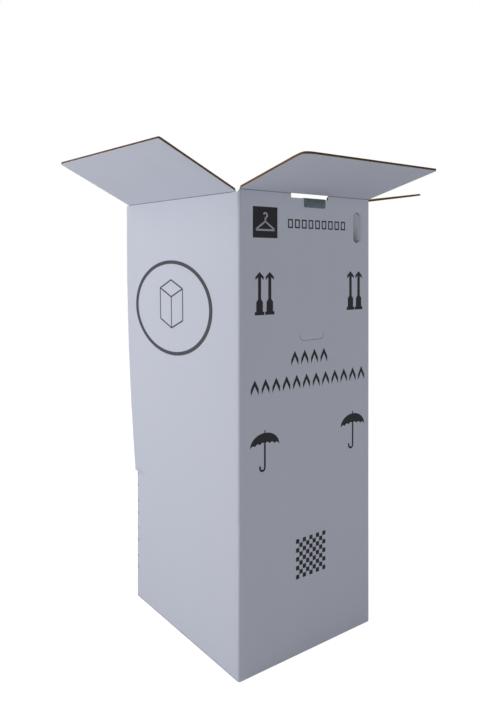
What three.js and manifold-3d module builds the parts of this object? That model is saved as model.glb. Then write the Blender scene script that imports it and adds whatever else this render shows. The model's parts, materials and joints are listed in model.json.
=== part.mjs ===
// Wardrobe moving box: a tall carton of double-wall board, its top flaps open, with a steel hanging rail.
// Millimetres, +Z up. The origin is the middle of the base, and the printed front wall faces -Y.
import * as THREE from "three";
import { mergeVertices } from "three/addons/utils/BufferGeometryUtils.js";
import Module from "manifold-3d";

const wasm = await Module();
wasm.setup();

// Carton
const board = 6.4; // double-wall corrugated board
const frontWidth = 510; // outside, along X
const sideWidth = 600; // outside, along Y
const frontCrease = 1340; // height of the creases of the front and back flaps, which close last
const layerGap = 0.5; // air between two closed flaps that lie on each other
const edgeRadius = 7; // rounding outside the upright folds
const innerRadius = 1.5; // rounding inside the upright folds
const footRadius = 3; // rounding of the folds around the base

// Rear left corner, torn open along its perforation
const tearHeight = 430; // below this height the corner still holds
const tearStep = 1.5; // height over which the torn edge steps outwards
const tearLip = 6; // how far the torn edge starts outside the fold
const lipWidth = 90; // width of the strip that bends out with that edge
const flareTop = 38; // how far the free rear edge of the left wall leans out at the top
const flareHeight = 1250; // height at which it has reached that
const tearTrim = 2; // board lost from the back wall along the tear
const perforationCut = 39;
const perforationPitch = 92.5;
const perforationStart = 9.5; // distance below the tear
const perforationDepth = 3;
const perforationWidth = 0.8;

// Top flaps
const flapLength = 272; // crease to free edge
const flapCornerRadius = 6;
const creaseCornerRadius = 1; // flap corners beside the crease
const outerFlapInset = 2.5; // front and back flaps, from the upright fold
const innerFlapClearance = 5; // left and right flaps, from the walls that they fold between
const leftFlapRearInset = 14; // left flap, from the torn edge
const cornerClearance = 1.2; // what the left flap's rear corner then clears the back wall by
const frontTilt = 13.1; // degrees above level, as the flaps lie open
const backTilt = 26;
const leftTilt = 24.7;
const rightTilt = 8;

// Creases: a flap turns about a line just outside the wall, and both edges are mitred on the inside
const hingeOffset = 0.2;
const creaseGap = 0.1;
const mitreRelief = 3; // degrees cut off the flap's mitre, so it can be pressed a little below level

// Base: outer flaps of the front and back walls, inner flaps of the side walls, and a strip of tape
const baseSeam = 2;
const innerBaseSeam = 10;
const tapeWidth = 50;
const tapeThickness = 0.3;
const tapeClearance = 0.3;

// Glued lap inside the rear right corner
const lapWidth = 36;
const lapThickness = 3;
const lapBottom = 24;
const lapTopDrop = 30;

// Slots for the rail, in the tops of the front and back walls
const slotWidth = 145;
const slotHeight = 12.5;
const slotCentre = 3; // x

// Hand holes in the front wall
const gripLength = 95;
const gripHeight = 30;
const openGripX = 197.7;
const openGripZ = 1248.7;
const gripTabAngle = 74; // degrees that the pushed-in tab is folded by
const gripTabClearance = 0.5;
const gripTabRoot = 4; // board that the fold takes up
const shutGripX = 10.8;
const shutGripZ = 926.5;
const gripCut = 1; // width of the cut around the tab that is still shut
const shutGripCutHeight = 20; // how far up from its lowest point that cut reaches

// Hanging rail: one strip of steel, flat at its ends and folded into a channel between them
const railX = 22;
const steel = 1.2;
const stripWidth = 84;
const channelWidth = 25;
const foldReach = 2.5; // strip on each side of a fold line that the bend takes up
const railSeat = 0.3;
const wallClearance = 0.4;
const tongueDrop = 26; // below the slot's sill
const tongueCornerRadius = 5;
const railStep = 12.5; // from the slot's sill down to the rail's top, which the closed flaps then clear
const flatRun = 10;
const foldRun = 50; // length over which the strip goes from flat to channel

// Derived places
const cutDepth = 3 * board; // a cut that passes both faces of the board
const sideCrease = frontCrease - board - layerGap;
const slotSill = frontCrease - slotHeight;
const railTopHeight = slotSill - railStep;
const floorTop = 2 * board + layerGap;
const halfWidth = frontWidth / 2;
const halfDepth = sideWidth / 2;
const innerFlapInset = board + innerFlapClearance;
const flareRun = sideWidth - edgeRadius;
const flareAngle = Math.atan2(flareTop, flareRun);
const wallTop = hingeOffset + creaseGap; // how far a wall's outer edge stops below its crease
const slotFloor = sideCrease - wallTop;
const bendRadius = steel / 2 + 2 * railSeat; // at the middle of the steel, tight round the board's edge

const radians = THREE.MathUtils.degToRad;
const clamp01 = (value) => THREE.MathUtils.clamp(value, 0, 1);

// A closed geometry as a solid that can be cut and joined.
function solidOf(geometry) {
  const bare = geometry.clone();
  bare.deleteAttribute("normal");
  bare.deleteAttribute("uv");
  const merged = mergeVertices(bare, 1e-4);
  const vertProperties = merged.attributes.position.array;
  const triVerts = Uint32Array.from(merged.index.array);
  return new wasm.Manifold(new wasm.Mesh({ numProp: 3, vertProperties, triVerts }));
}

// A solid back as a geometry, with flat facets.
function geometryOf(solid) {
  const mesh = solid.getMesh();
  const geometry = new THREE.BufferGeometry();
  geometry.setAttribute("position", new THREE.BufferAttribute(new Float32Array(mesh.vertProperties), 3));
  geometry.setIndex(new THREE.BufferAttribute(new Uint32Array(mesh.triVerts), 1));
  const faceted = geometry.toNonIndexed();
  faceted.computeVertexNormals();
  return faceted;
}

// A box between two corners.
function block(low, high) {
  const size = high.map((value, axis) => value - low[axis]);
  const geometry = new THREE.BoxGeometry(...size);
  geometry.translate(...low.map((value, axis) => value + size[axis] / 2));
  return solidOf(geometry);
}

// An outline in a plane, extruded, then placed by a matrix.
function prism(points, depth, matrix) {
  const geometry = new THREE.ExtrudeGeometry(new THREE.Shape(points), { depth, bevelEnabled: false });
  geometry.applyMatrix4(matrix);
  return solidOf(geometry);
}

// A closed solid through convex rings of as many points each, its ends filled round their middles.
function loft(rings) {
  const count = rings[0].length;
  const points = rings.flat();
  const faces = [];
  for (let level = 0; level + 1 < rings.length; level++) {
    for (let i = 0; i < count; i++) {
      const a = level * count + i;
      const b = level * count + ((i + 1) % count);
      faces.push([a, b, b + count], [a, b + count, a + count]);
    }
  }
  for (const [ring, first] of [[rings[0], 0], [rings.at(-1), (rings.length - 1) * count]]) {
    const middle = ring.reduce((sum, point) => sum.add(point), new THREE.Vector3()).divideScalar(count);
    for (let i = 0; i < count; i++) {
      const edge = [first + i, first + ((i + 1) % count)];
      faces.push(first === 0 ? [edge[1], edge[0], points.length] : [edge[0], edge[1], points.length]);
    }
    points.push(middle);
  }
  const geometry = new THREE.BufferGeometry().setFromPoints(points);
  geometry.setIndex(faces.flat());
  return solidOf(geometry);
}

// An outline with each corner rounded by its own radius.
function roundCorners(corners, radii, steps = 4) {
  return corners.flatMap((corner, i) => {
    const before = corners.at(i - 1).clone().sub(corner).setLength(radii[i]).add(corner);
    const after = corners[(i + 1) % corners.length].clone().sub(corner).setLength(radii[i]).add(corner);
    return new THREE.QuadraticBezierCurve(before, corner, after).getPoints(steps);
  });
}

// How far the left wall stands outside its fold plane, at a depth and a height.
function flareAt(y, z) {
  if (z <= tearHeight) return 0;
  const along = clamp01((y + halfDepth - edgeRadius) / flareRun);
  const open = 1 - (1 - clamp01((z - tearHeight) / (flareHeight - tearHeight))) ** 2;
  const strip = clamp01((y - halfDepth + lipWidth) / lipWidth);
  return flareTop * open * along + tearLip * (1 - open) * strip ** 2;
}

// The depths at which the left wall's outline has points, from the rear to the front.
const leftWallDepths = [0.03, 0.07, 0.12, 0.2, 0.35, 0.5, 0.65, 0.8, 0.94].map(
  (share) => halfDepth - share * sideWidth,
);

// The outline of the four walls at a height, a distance inside their outer faces.
function wallRing(z, inset, radius) {
  const x = halfWidth - inset;
  const y = halfDepth - inset;
  const rear = new THREE.Vector2(-x - flareAt(halfDepth, z), y);
  const corners = [[-x, -y], [x, -y], [x, y]].map((at) => new THREE.Vector2(...at));
  const rearRadius = z > tearHeight ? tearTrim / 2 : radius;
  const rounded = roundCorners([...corners, rear], [radius, radius, radius, rearRadius]);
  const left = leftWallDepths.map((depth) => new THREE.Vector2(-x - flareAt(depth, z), depth));
  return [...rounded, ...left].map((point) => new THREE.Vector3(point.x, point.y, z));
}

// The gap between the left wall's free edge and the end of the back wall.
function tearRing(z) {
  const x = halfWidth - board;
  const wall = -x - flareAt(halfDepth, z);
  const inside = halfDepth - board - innerRadius;
  const outside = halfDepth + board;
  return [[wall, inside], [tearTrim - x, inside], [tearTrim - x, outside], [wall, outside]].map(
    (at) => new THREE.Vector3(...at, z),
  );
}

// Heights between the tear and the top, closer together where the wall bends.
function openHeights(top) {
  const steps = 9;
  const crowding = 1.3;
  const bottom = tearHeight + tearStep;
  return Array.from({ length: steps }, (_, i) => {
    const share = (i + 1) / steps;
    return bottom + (top - bottom) * share ** crowding;
  });
}

// The four walls and the block that the base flaps are cut from.
function wallShell() {
  const foot = [0, 1 / 3, 2 / 3, 1].map((share) => {
    const angle = (share * Math.PI) / 2;
    return wallRing(footRadius * (1 - Math.cos(angle)), footRadius * (1 - Math.sin(angle)), edgeRadius);
  });
  const upper = [tearHeight, tearHeight + tearStep, ...openHeights(frontCrease)];
  const outside = loft([...foot, ...upper.map((z) => wallRing(z, 0, edgeRadius))]);
  const above = [tearHeight, tearHeight + tearStep, ...openHeights(frontCrease + board)];
  const hollow = [floorTop, ...above].map((z) => wallRing(z, board, innerRadius));
  return outside.subtract(loft(hollow)).subtract(loft(above.map(tearRing)));
}

// The frame of a crease: X along it, Y into the carton and Z up, with its origin on the turning line.
const creases = {
  front: { turn: 0, middle: [0, -halfDepth, frontCrease] },
  back: { turn: 180, middle: [0, halfDepth, frontCrease] },
  right: { turn: 90, middle: [halfWidth, 0, sideCrease] },
  left: {
    turn: THREE.MathUtils.radToDeg(flareAngle) - 90,
    middle: [-halfWidth - flareTop / 2, edgeRadius / 2, sideCrease],
  },
};

function creaseGroup({ turn, middle }) {
  const group = new THREE.Group();
  group.rotation.z = radians(turn);
  group.position.set(...middle);
  group.updateMatrix();
  group.position.add(new THREE.Vector3(0, -hingeOffset, 0).applyEuler(group.rotation));
  group.updateMatrix();
  return group;
}

// Turns a profile in Y and Z, extruded along Z, so that it runs along X from a start.
function alongCrease(start) {
  const turn = new THREE.Matrix4().makeBasis(
    new THREE.Vector3(0, 1, 0),
    new THREE.Vector3(0, 0, 1),
    new THREE.Vector3(1, 0, 0),
  );
  return turn.setPosition(start, 0, 0);
}

// What is cut off a wall above its crease, from one place to another along it.
function creaseCut(crease, from, to) {
  const reach = board + hingeOffset + creaseGap + layerGap;
  const section = [
    new THREE.Vector2(-board, board - creaseGap),
    new THREE.Vector2(reach, -reach - creaseGap),
    new THREE.Vector2(reach, 2 * board),
    new THREE.Vector2(-board, 2 * board),
  ];
  const matrix = creaseGroup(crease).matrix.clone().multiply(alongCrease(from));
  return prism(section, to - from, matrix);
}

// What is cut off the tops of the walls: a mitre along each crease, and a slot at each corner.
function topCuts() {
  const cornerEnd = board * Math.sin(flareAngle) + creaseGap; // past the slanting crease's own end
  const leftCutEnd = halfDepth - board + edgeRadius / 2 + cornerEnd;
  const cuts = [
    creaseCut(creases.front, -frontWidth, frontWidth),
    creaseCut(creases.back, -frontWidth, frontWidth),
    creaseCut(creases.right, board - halfDepth, halfDepth - board),
    creaseCut(creases.left, -sideWidth, leftCutEnd),
  ];
  for (const [sideX, sideY] of [[-1, -1], [1, -1], [1, 1]]) {
    const x = [sideX * (halfWidth - outerFlapInset), sideX * (halfWidth + board)];
    const y = [sideY * (halfDepth - board - layerGap), sideY * (halfDepth + board)];
    const low = [Math.min(...x), Math.min(...y), slotFloor];
    cuts.push(block(low, [Math.max(...x), Math.max(...y), frontCrease + board]));
  }
  return cuts;
}

// The notches for the rail in the front and back walls.
function slotCuts() {
  return [-1, 1].map((side) => {
    const y = [side * (halfDepth - 2 * board), side * (halfDepth + board)];
    const low = [slotCentre - slotWidth / 2, Math.min(...y), slotSill];
    return block(low, [slotCentre + slotWidth / 2, Math.max(...y), frontCrease + board]);
  });
}

// What parts the base into its four flaps, with the bed of the tape.
function baseCuts() {
  const x = halfWidth + board;
  const innerX = halfWidth - board;
  const innerY = halfDepth - board;
  const edgeY = halfDepth - innerFlapInset;
  const bed = tapeThickness + tapeClearance;
  const bedY = tapeWidth / 2 + tapeClearance;
  const upper = floorTop + layerGap;
  return [
    block([-x, -baseSeam / 2, -board], [x, baseSeam / 2, board + layerGap / 2]),
    block([-x, -innerY, board], [x, innerY, board + layerGap]),
    block([-innerBaseSeam / 2, -innerY, board], [innerBaseSeam / 2, innerY, upper]),
    block([-innerX, edgeY, board], [innerX, innerY, upper]),
    block([-innerX, -innerY, board], [innerX, -edgeY, upper]),
    block([-x, -bedY, -board], [x, bedY, bed]),
  ];
}

// A frame on the front wall's inner face: X along the wall, Y up, and Z out of the carton.
function frontFrame(x, z) {
  const basis = new THREE.Matrix4().makeBasis(
    new THREE.Vector3(1, 0, 0),
    new THREE.Vector3(0, 0, 1),
    new THREE.Vector3(0, -1, 0),
  );
  return basis.setPosition(x, board - halfDepth, z);
}

// The outline of a hand hole that lies on its side, made smaller all round by an inset.
function gripOutline(inset) {
  const x = gripLength / 2 - inset;
  const y = gripHeight / 2 - inset;
  const ends = [new THREE.Vector2(x - y, 0), new THREE.Vector2(y - x, 0)];
  return ends.flatMap((centre, side) =>
    Array.from({ length: 9 }, (_, i) => {
      const angle = (i / 8 - 0.5 + side) * Math.PI;
      return new THREE.Vector2(Math.cos(angle), Math.sin(angle)).multiplyScalar(y).add(centre);
    }),
  );
}

// The open hand hole, which stands upright, and its tab folded into the carton.
function openGrip(shell) {
  const upright = new THREE.Matrix4().makeRotationZ(Math.PI / 2);
  const hole = frontFrame(openGripX, openGripZ).multiply(upright);
  const through = new THREE.Matrix4().makeTranslation(0, 0, -board);
  const cut = prism(gripOutline(0), cutDepth, hole.clone().multiply(through));
  const fold = gripHeight / 2;
  const tab = frontFrame(openGripX + fold, openGripZ)
    .multiply(new THREE.Matrix4().makeRotationY(radians(-gripTabAngle)))
    .multiply(new THREE.Matrix4().makeTranslation(gripTabClearance + gripTabRoot - fold, 0, 0))
    .multiply(upright);
  return shell.subtract(cut).add(prism(gripOutline(gripTabClearance), board, tab));
}

// The cut around the lower half of the hand hole that is still shut.
function shutGripCut() {
  const behind = new THREE.Matrix4().makeTranslation(0, 0, -board);
  const through = frontFrame(shutGripX, shutGripZ).multiply(behind);
  const tab = prism(gripOutline(gripCut), cutDepth, through);
  const ring = prism(gripOutline(0), cutDepth, through).subtract(tab);
  const upperHalf = block(
    [shutGripX - gripLength, -halfDepth - cutDepth, shutGripZ - gripHeight / 2 + shutGripCutHeight],
    [shutGripX + gripLength, cutDepth - halfDepth, shutGripZ + gripHeight],
  );
  return ring.subtract(upperHalf);
}

// The perforation cuts along the rear left corner, below the tear.
function perforationCuts() {
  const cuts = [];
  let top = tearHeight - perforationStart;
  while (top - perforationCut > footRadius) {
    const geometry = new THREE.BoxGeometry(2 * perforationDepth, perforationWidth, perforationCut);
    geometry.rotateZ(-Math.PI / 4);
    geometry.translate(-halfWidth + edgeRadius / 4, halfDepth - edgeRadius / 4, top - perforationCut / 2);
    cuts.push(solidOf(geometry));
    top -= perforationPitch;
  }
  return cuts;
}

// The glued lap of the blank, inside the right wall at the rear corner.
function glueLap() {
  const x = halfWidth - board;
  const y = halfDepth - board;
  const overlap = innerRadius;
  const section = [
    new THREE.Vector2(x - lapThickness, y + overlap),
    new THREE.Vector2(x - lapThickness, y - lapWidth + lapThickness),
    new THREE.Vector2(x, y - lapWidth),
    new THREE.Vector2(x + overlap, y - lapWidth),
    new THREE.Vector2(x + overlap, y + overlap),
  ];
  const top = sideCrease - lapTopDrop;
  return prism(section, top - lapBottom, new THREE.Matrix4().makeTranslation(0, 0, lapBottom));
}

function cartonBody() {
  const cuts = [...topCuts(), ...slotCuts(), ...baseCuts(), ...perforationCuts(), shutGripCut()];
  const cut = cuts.reduce((solid, tool) => solid.subtract(tool), wallShell().add(glueLap()));
  return openGrip(cut);
}

// A flap standing upright on its crease, given where its two sides meet the crease and the free edge.
function uprightFlap(sides) {
  const inner = hingeOffset + board;
  const slope = Math.tan(radians(45 + mitreRelief));
  const section = [
    new THREE.Vector2(hingeOffset, hingeOffset * slope + creaseGap),
    new THREE.Vector2(inner, inner * slope + creaseGap),
    new THREE.Vector2(inner, flapLength),
    new THREE.Vector2(hingeOffset, flapLength),
  ];
  const [start, end] = [Math.min(...sides.low), Math.max(...sides.high)];
  const slab = prism(section, end - start, alongCrease(start));
  const corners = [
    new THREE.Vector2(sides.low[0], -board),
    new THREE.Vector2(sides.high[0], -board),
    new THREE.Vector2(sides.high[1], flapLength),
    new THREE.Vector2(sides.low[1], flapLength),
  ];
  const radii = [creaseCornerRadius, creaseCornerRadius, flapCornerRadius, flapCornerRadius];
  const outline = roundCorners(corners, radii);
  const facing = new THREE.Matrix4().makeBasis(
    new THREE.Vector3(1, 0, 0),
    new THREE.Vector3(0, 0, 1),
    new THREE.Vector3(0, -1, 0),
  );
  return slab.intersect(prism(outline, cutDepth, facing.setPosition(0, cutDepth - board, 0)));
}

// The sides of each flap: places along its crease, at the crease and at the free edge.
function flapSides() {
  const outer = halfWidth - outerFlapInset;
  const inner = halfDepth - innerFlapInset;
  const crease = Math.hypot(flareRun, flareTop);
  const rear = leftFlapRearInset - crease / 2;
  const swing = flapLength * Math.tan(flareAngle);
  const taper = Math.max(0, swing + board + cornerClearance - leftFlapRearInset);
  const nearEnd = crease / 2 + edgeRadius - innerFlapInset;
  return {
    outer: { low: [-outer, -outer], high: [outer, outer] },
    right: { low: [-inner, -inner], high: [inner, inner] },
    left: { low: [rear, rear + taper], high: [nearEnd, nearEnd] },
  };
}

// The rail's path from its front tongue to its middle: places in Y and Z, and which way the path heads.
function railPath() {
  const seat = slotSill + railSeat + steel / 2;
  const level = railTopHeight - steel / 2;
  const outside = -halfDepth - wallClearance - steel / 2;
  const inside = board - halfDepth + wallClearance + steel / 2;
  const bend = (y, z, from, to) =>
    [0, 0.25, 0.5, 0.75, 1].map((share) => {
      const heading = radians(from + (to - from) * share);
      const side = Math.sign(to - from);
      return {
        y: y + side * bendRadius * Math.sin(heading),
        z: z - side * bendRadius * Math.cos(heading),
        heading,
      };
    });
  const up = radians(90);
  const lowest = slotSill - tongueDrop;
  const tongue = [0, 0.3, 0.6, 1].map((share) => {
    const rise = tongueCornerRadius * (1 - Math.cos((share * Math.PI) / 2));
    const narrow = tongueCornerRadius * (1 - Math.sin((share * Math.PI) / 2));
    return { y: outside, z: lowest + rise, heading: up, narrow };
  });
  const foldStart = inside + bendRadius + flatRun;
  const fold = [0, 0.2, 0.4, 0.6, 0.8, 1].map((share) => ({
    y: foldStart + foldRun * share,
    z: level,
    heading: 0,
    fold: (Math.PI / 2) * share * share * (3 - 2 * share),
  }));
  return [
    ...tongue,
    ...bend(outside + bendRadius, seat - bendRadius, 90, 0),
    ...bend(inside - bendRadius, seat - bendRadius, 0, -90),
    ...bend(inside + bendRadius, level + bendRadius, -90, 0),
    ...fold,
  ];
}

// The strip's cross-section at a station, as points across it on both faces.
function stripSection({ fold = 0, narrow = 0 }) {
  const edge = channelWidth / 2;
  const half = [0, edge - foldReach, edge, edge + foldReach, stripWidth / 2 - narrow];
  let along = 0;
  let drop = 0;
  let slope = 0;
  const points = half.map((place, i) => {
    if (i > 0) {
      along += (place - half[i - 1]) * Math.cos(slope);
      drop += (place - half[i - 1]) * Math.sin(slope);
    }
    const before = slope;
    if (i > 0 && i < half.length - 1) slope += fold / 3;
    const lean = (before + slope) / 2;
    return { along, drop, lean };
  });
  const face = (side) =>
    points.map(({ along: x, drop: z, lean }) => ({
      x: x + side * (steel / 2) * Math.sin(lean),
      z: side * (steel / 2) * Math.cos(lean) - z,
    }));
  const mirrored = (list) => list.slice(1).reverse().map(({ x, z }) => ({ x: -x, z }));
  const upper = face(1);
  const lower = face(-1);
  return [...mirrored(upper), ...upper, ...[...mirrored(lower), ...lower].reverse()];
}

function hangingRail() {
  const front = railPath();
  const back = front.map((station) => ({ ...station, y: -station.y, heading: -station.heading })).reverse();
  const rings = [...front, ...back].map((station) =>
    stripSection(station).map(({ x, z }) => {
      const y = station.y - z * Math.sin(station.heading);
      return new THREE.Vector3(x, y, station.z + z * Math.cos(station.heading));
    }),
  );
  return loft(rings);
}

// Finishes
const outerLiner = new THREE.MeshStandardMaterial({ color: 0xc3c7d2, roughness: 0.85, metalness: 0 });
const frontLiner = new THREE.MeshStandardMaterial({ color: 0x8a9099, roughness: 0.85, metalness: 0 });
const sideLiner = new THREE.MeshStandardMaterial({ color: 0xb9bfcd, roughness: 0.85, metalness: 0 });
const backLiner = new THREE.MeshStandardMaterial({ color: 0xa9aeb9, roughness: 0.85, metalness: 0 });
const kraftEdge = new THREE.MeshStandardMaterial({ color: 0xb08a62, roughness: 0.9, metalness: 0 });
const galvanised = new THREE.MeshStandardMaterial({ color: 0x6e7a80, roughness: 0.42, metalness: 1 });
const tapeFilm = new THREE.MeshStandardMaterial({ color: 0xb89a6a, roughness: 0.35, metalness: 0 });

function named(name, geometry, material) {
  const mesh = new THREE.Mesh(geometry, material);
  mesh.name = name;
  return mesh;
}

// A flap on its crease, turned outwards from upright to its tilt above level.
function openFlap(name, crease, sides, tilt, material) {
  const hinge = creaseGroup(crease);
  const flap = named(name, geometryOf(uprightFlap(sides)), material);
  flap.rotation.x = radians(90 - tilt);
  hinge.add(flap);
  return hinge;
}

const sides = flapSides();
const wardrobeBox = new THREE.Group();
wardrobeBox.add(named("carton_body", geometryOf(cartonBody()), outerLiner));
wardrobeBox.add(openFlap("front_flap", creases.front, sides.outer, frontTilt, frontLiner));
wardrobeBox.add(openFlap("back_flap", creases.back, sides.outer, backTilt, backLiner));
wardrobeBox.add(openFlap("left_flap", creases.left, sides.left, leftTilt, sideLiner));
wardrobeBox.add(openFlap("right_flap", creases.right, sides.right, rightTilt, kraftEdge));

const rail = named("hanging_rail", geometryOf(hangingRail()), galvanised);
rail.position.x = railX;
wardrobeBox.add(rail);

const tape = new THREE.BoxGeometry(frontWidth - 2 * footRadius, tapeWidth, tapeThickness);
tape.translate(0, 0, tapeThickness / 2);
wardrobeBox.add(named("bottom_tape", tape, tapeFilm));

export default wardrobeBox;
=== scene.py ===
"""Looks of a wardrobe moving box: double-wall board, top flaps folded open, a steel rail in its slots.

Metres, +Z up. The printed front wall faces -Y and the wall that has torn free at the rear faces -X.
"""

import json
import logging
import math
from dataclasses import dataclass
from enum import Enum

import bmesh
import bpy
from bmesh.types import BMEdge, BMesh, BMFace, BMVert
from bpy.types import ID, Material, Node, NodeSocket, NodeTree, Object
from mathutils import Matrix, Vector
from mathutils.bvhtree import BVHTree


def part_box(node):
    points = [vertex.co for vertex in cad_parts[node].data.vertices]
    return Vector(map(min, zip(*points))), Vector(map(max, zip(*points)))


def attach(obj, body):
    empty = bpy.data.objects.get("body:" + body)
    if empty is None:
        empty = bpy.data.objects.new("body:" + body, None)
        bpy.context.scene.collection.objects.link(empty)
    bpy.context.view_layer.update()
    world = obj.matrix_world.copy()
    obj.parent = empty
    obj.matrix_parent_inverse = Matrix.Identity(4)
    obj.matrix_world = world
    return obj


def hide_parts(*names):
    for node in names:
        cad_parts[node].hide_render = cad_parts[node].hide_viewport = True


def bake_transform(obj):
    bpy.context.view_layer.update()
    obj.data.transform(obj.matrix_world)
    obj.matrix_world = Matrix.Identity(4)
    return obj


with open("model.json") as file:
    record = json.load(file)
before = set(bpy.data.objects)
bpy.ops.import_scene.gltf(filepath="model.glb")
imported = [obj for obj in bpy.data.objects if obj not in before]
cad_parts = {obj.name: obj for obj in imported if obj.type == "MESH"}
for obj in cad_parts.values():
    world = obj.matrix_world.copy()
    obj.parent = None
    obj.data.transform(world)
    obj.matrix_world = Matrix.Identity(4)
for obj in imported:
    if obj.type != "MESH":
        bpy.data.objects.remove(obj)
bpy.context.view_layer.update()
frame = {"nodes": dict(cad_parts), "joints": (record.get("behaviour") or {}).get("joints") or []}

CARTON_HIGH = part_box("carton_body")[1]
MM = 0.001
BOARD = 6.4 * MM
SLOT_LEFT, SLOT_RIGHT = -70 * MM, 76 * MM
MERGE_DISTANCE = 0.002 * MM
CUT_TOLERANCE = 0.001 * MM
LOG = logging.getLogger("wardrobe_box")

# A mix node's sockets for its two colours and their mix, whose names other sockets have too
MIX_FIRST, MIX_SECOND, MIX_RESULT = 6, 7, 2


def linear(colour: str) -> tuple[float, float, float, float]:
    """Turns an sRGB colour into the linear one that shaders take.

    Args:
        colour: six hex digits, such as "c8ccd6".

    Returns:
        Red, green, blue and an alpha of 1.
    """
    shares = [int(colour[at : at + 2], 16) / 255 for at in (0, 2, 4)]
    return (*(s / 12.92 if s <= 0.04045 else ((s + 0.055) / 1.055) ** 2.4 for s in shares), 1.0)


def add_node(tree: NodeTree, kind: str, values: dict | None = None, links: dict | None = None,
             **settings: object) -> Node:
    """Adds a node to a tree.

    Args:
        tree: the tree that gets the node.
        kind: the node's type.
        values: what its input sockets are set to.
        links: the output socket that each of its inputs is linked from.
        settings: the node's own properties.

    Returns:
        The new node.
    """
    made = tree.nodes.new(kind)
    for name, value in settings.items():
        setattr(made, name, value)
    for name, value in (values or {}).items():
        made.inputs[name].default_value = value
    for name, source in (links or {}).items():
        tree.links.new(source, made.inputs[name])
    return made


def new_material(name: str, values: dict) -> tuple[Material, NodeTree, Node]:
    """Makes an empty node material.

    Args:
        name: the material's name.
        values: what its shader's input sockets are set to.

    Returns:
        The material, its tree, and the principled shader that its surface shows.
    """
    material = bpy.data.materials.new(name)
    material.use_nodes = True
    tree = material.node_tree
    tree.nodes.clear()
    shader = add_node(tree, "ShaderNodeBsdfPrincipled", values)
    add_node(tree, "ShaderNodeOutputMaterial", links={"Surface": shader.outputs[0]})
    return material, tree, shader


def colour_surface(tree: NodeTree, shader: Node, colours: tuple[str, str], share: NodeSocket) -> None:
    """Colours a surface between two colours.

    Args:
        tree: the material's tree.
        shader: the surface's shader.
        colours: the colours where the share is 0 and where it is 1.
        share: the socket that gives the share.
    """
    values = {MIX_FIRST: linear(colours[0]), MIX_SECOND: linear(colours[1])}
    mixed = add_node(tree, "ShaderNodeMix", values, {0: share}, data_type="RGBA")
    tree.links.new(mixed.outputs[MIX_RESULT], shader.inputs["Base Color"])


def ridges(tree: NodeTree, place: NodeSocket, across: Vector) -> NodeSocket:
    """Adds even ridges.

    Args:
        tree: the material's tree.
        place: the coordinates that they follow.
        across: the direction across the ridges, as long as their number in a metre.

    Returns:
        Their height, from -1 to 1.
    """
    turns = add_node(tree, "ShaderNodeVectorMath", {1: across * 2 * math.pi}, {0: place},
                     operation="DOT_PRODUCT").outputs["Value"]
    return add_node(tree, "ShaderNodeMath", links={0: turns}, operation="SINE").outputs[0]


class FluteRun(Enum):
    """What the flutes of a board stand side by side along, as weights of X and Y."""

    WALLS = (1.0, 1.0)
    ALONG_X = (1.0, 0.0)
    ALONG_Y = (0.0, 1.0)


@dataclass(frozen=True)
class Liner:
    """Paper liner of corrugated board: matt, fibrous, with the flutes showing through as faint ribs."""

    name: str
    colour: str
    streak: str
    run: FluteRun
    roughness: float = 0.82
    gloss: float = 0.25
    rib_pitch: float = 7.6 * MM
    rib_height: float = 0.05 * MM
    rib_strength: float = 0.6
    fibre_size: float = 0.9 * MM  # coarser than real fibres, so that they show
    fibre_height: float = 0.1 * MM
    fibre_strength: float = 0.25
    fibre_share: float = 0.25
    cloud_size: float = 140 * MM
    cloud_range: tuple[float, float] = (0.35, 0.95)
    streak_share: float = 0.55
    upright_squeeze: float = 0.12

    def build(self) -> Material:
        """Makes the material.

        Returns:
            The liner's material.
        """
        material, tree, shader = new_material(
            self.name, {"Roughness": self.roughness, "Specular IOR Level": self.gloss})
        place = add_node(tree, "ShaderNodeTexCoord").outputs["Object"]
        upright = add_node(tree, "ShaderNodeMapping", {"Scale": (1.0, 1.0, self.upright_squeeze)},
                           {"Vector": place}).outputs[0]
        clouds = add_node(tree, "ShaderNodeTexNoise", {"Scale": 1 / self.cloud_size, "Detail": 3.0},
                          {"Vector": upright}).outputs["Fac"]
        fibres = add_node(tree, "ShaderNodeTexNoise", {"Scale": 1 / self.fibre_size, "Detail": 2.0},
                          {"Vector": upright}).outputs["Fac"]
        cloudy = add_node(tree, "ShaderNodeMath", {1: self.fibre_share}, {0: fibres, 2: clouds},
                          operation="MULTIPLY_ADD").outputs[0]
        least, most = self.cloud_range
        tones = {"From Min": least, "From Max": most, "To Max": self.streak_share}
        tone = add_node(tree, "ShaderNodeMapRange", tones, {"Value": cloudy}).outputs[0]
        colour_surface(tree, shader, (self.colour, self.streak), tone)
        ribs = ridges(tree, place, Vector((*self.run.value, 0.0)) / self.rib_pitch)
        relief = {"Strength": self.fibre_strength, "Distance": self.fibre_height}
        fibrous = add_node(tree, "ShaderNodeBump", relief, {"Height": fibres}).outputs[0]
        relief = {"Strength": self.rib_strength, "Distance": self.rib_height}
        washboard = add_node(tree, "ShaderNodeBump", relief, {"Height": ribs, "Normal": fibrous})
        tree.links.new(washboard.outputs[0], shader.inputs["Normal"])
        return material


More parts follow.
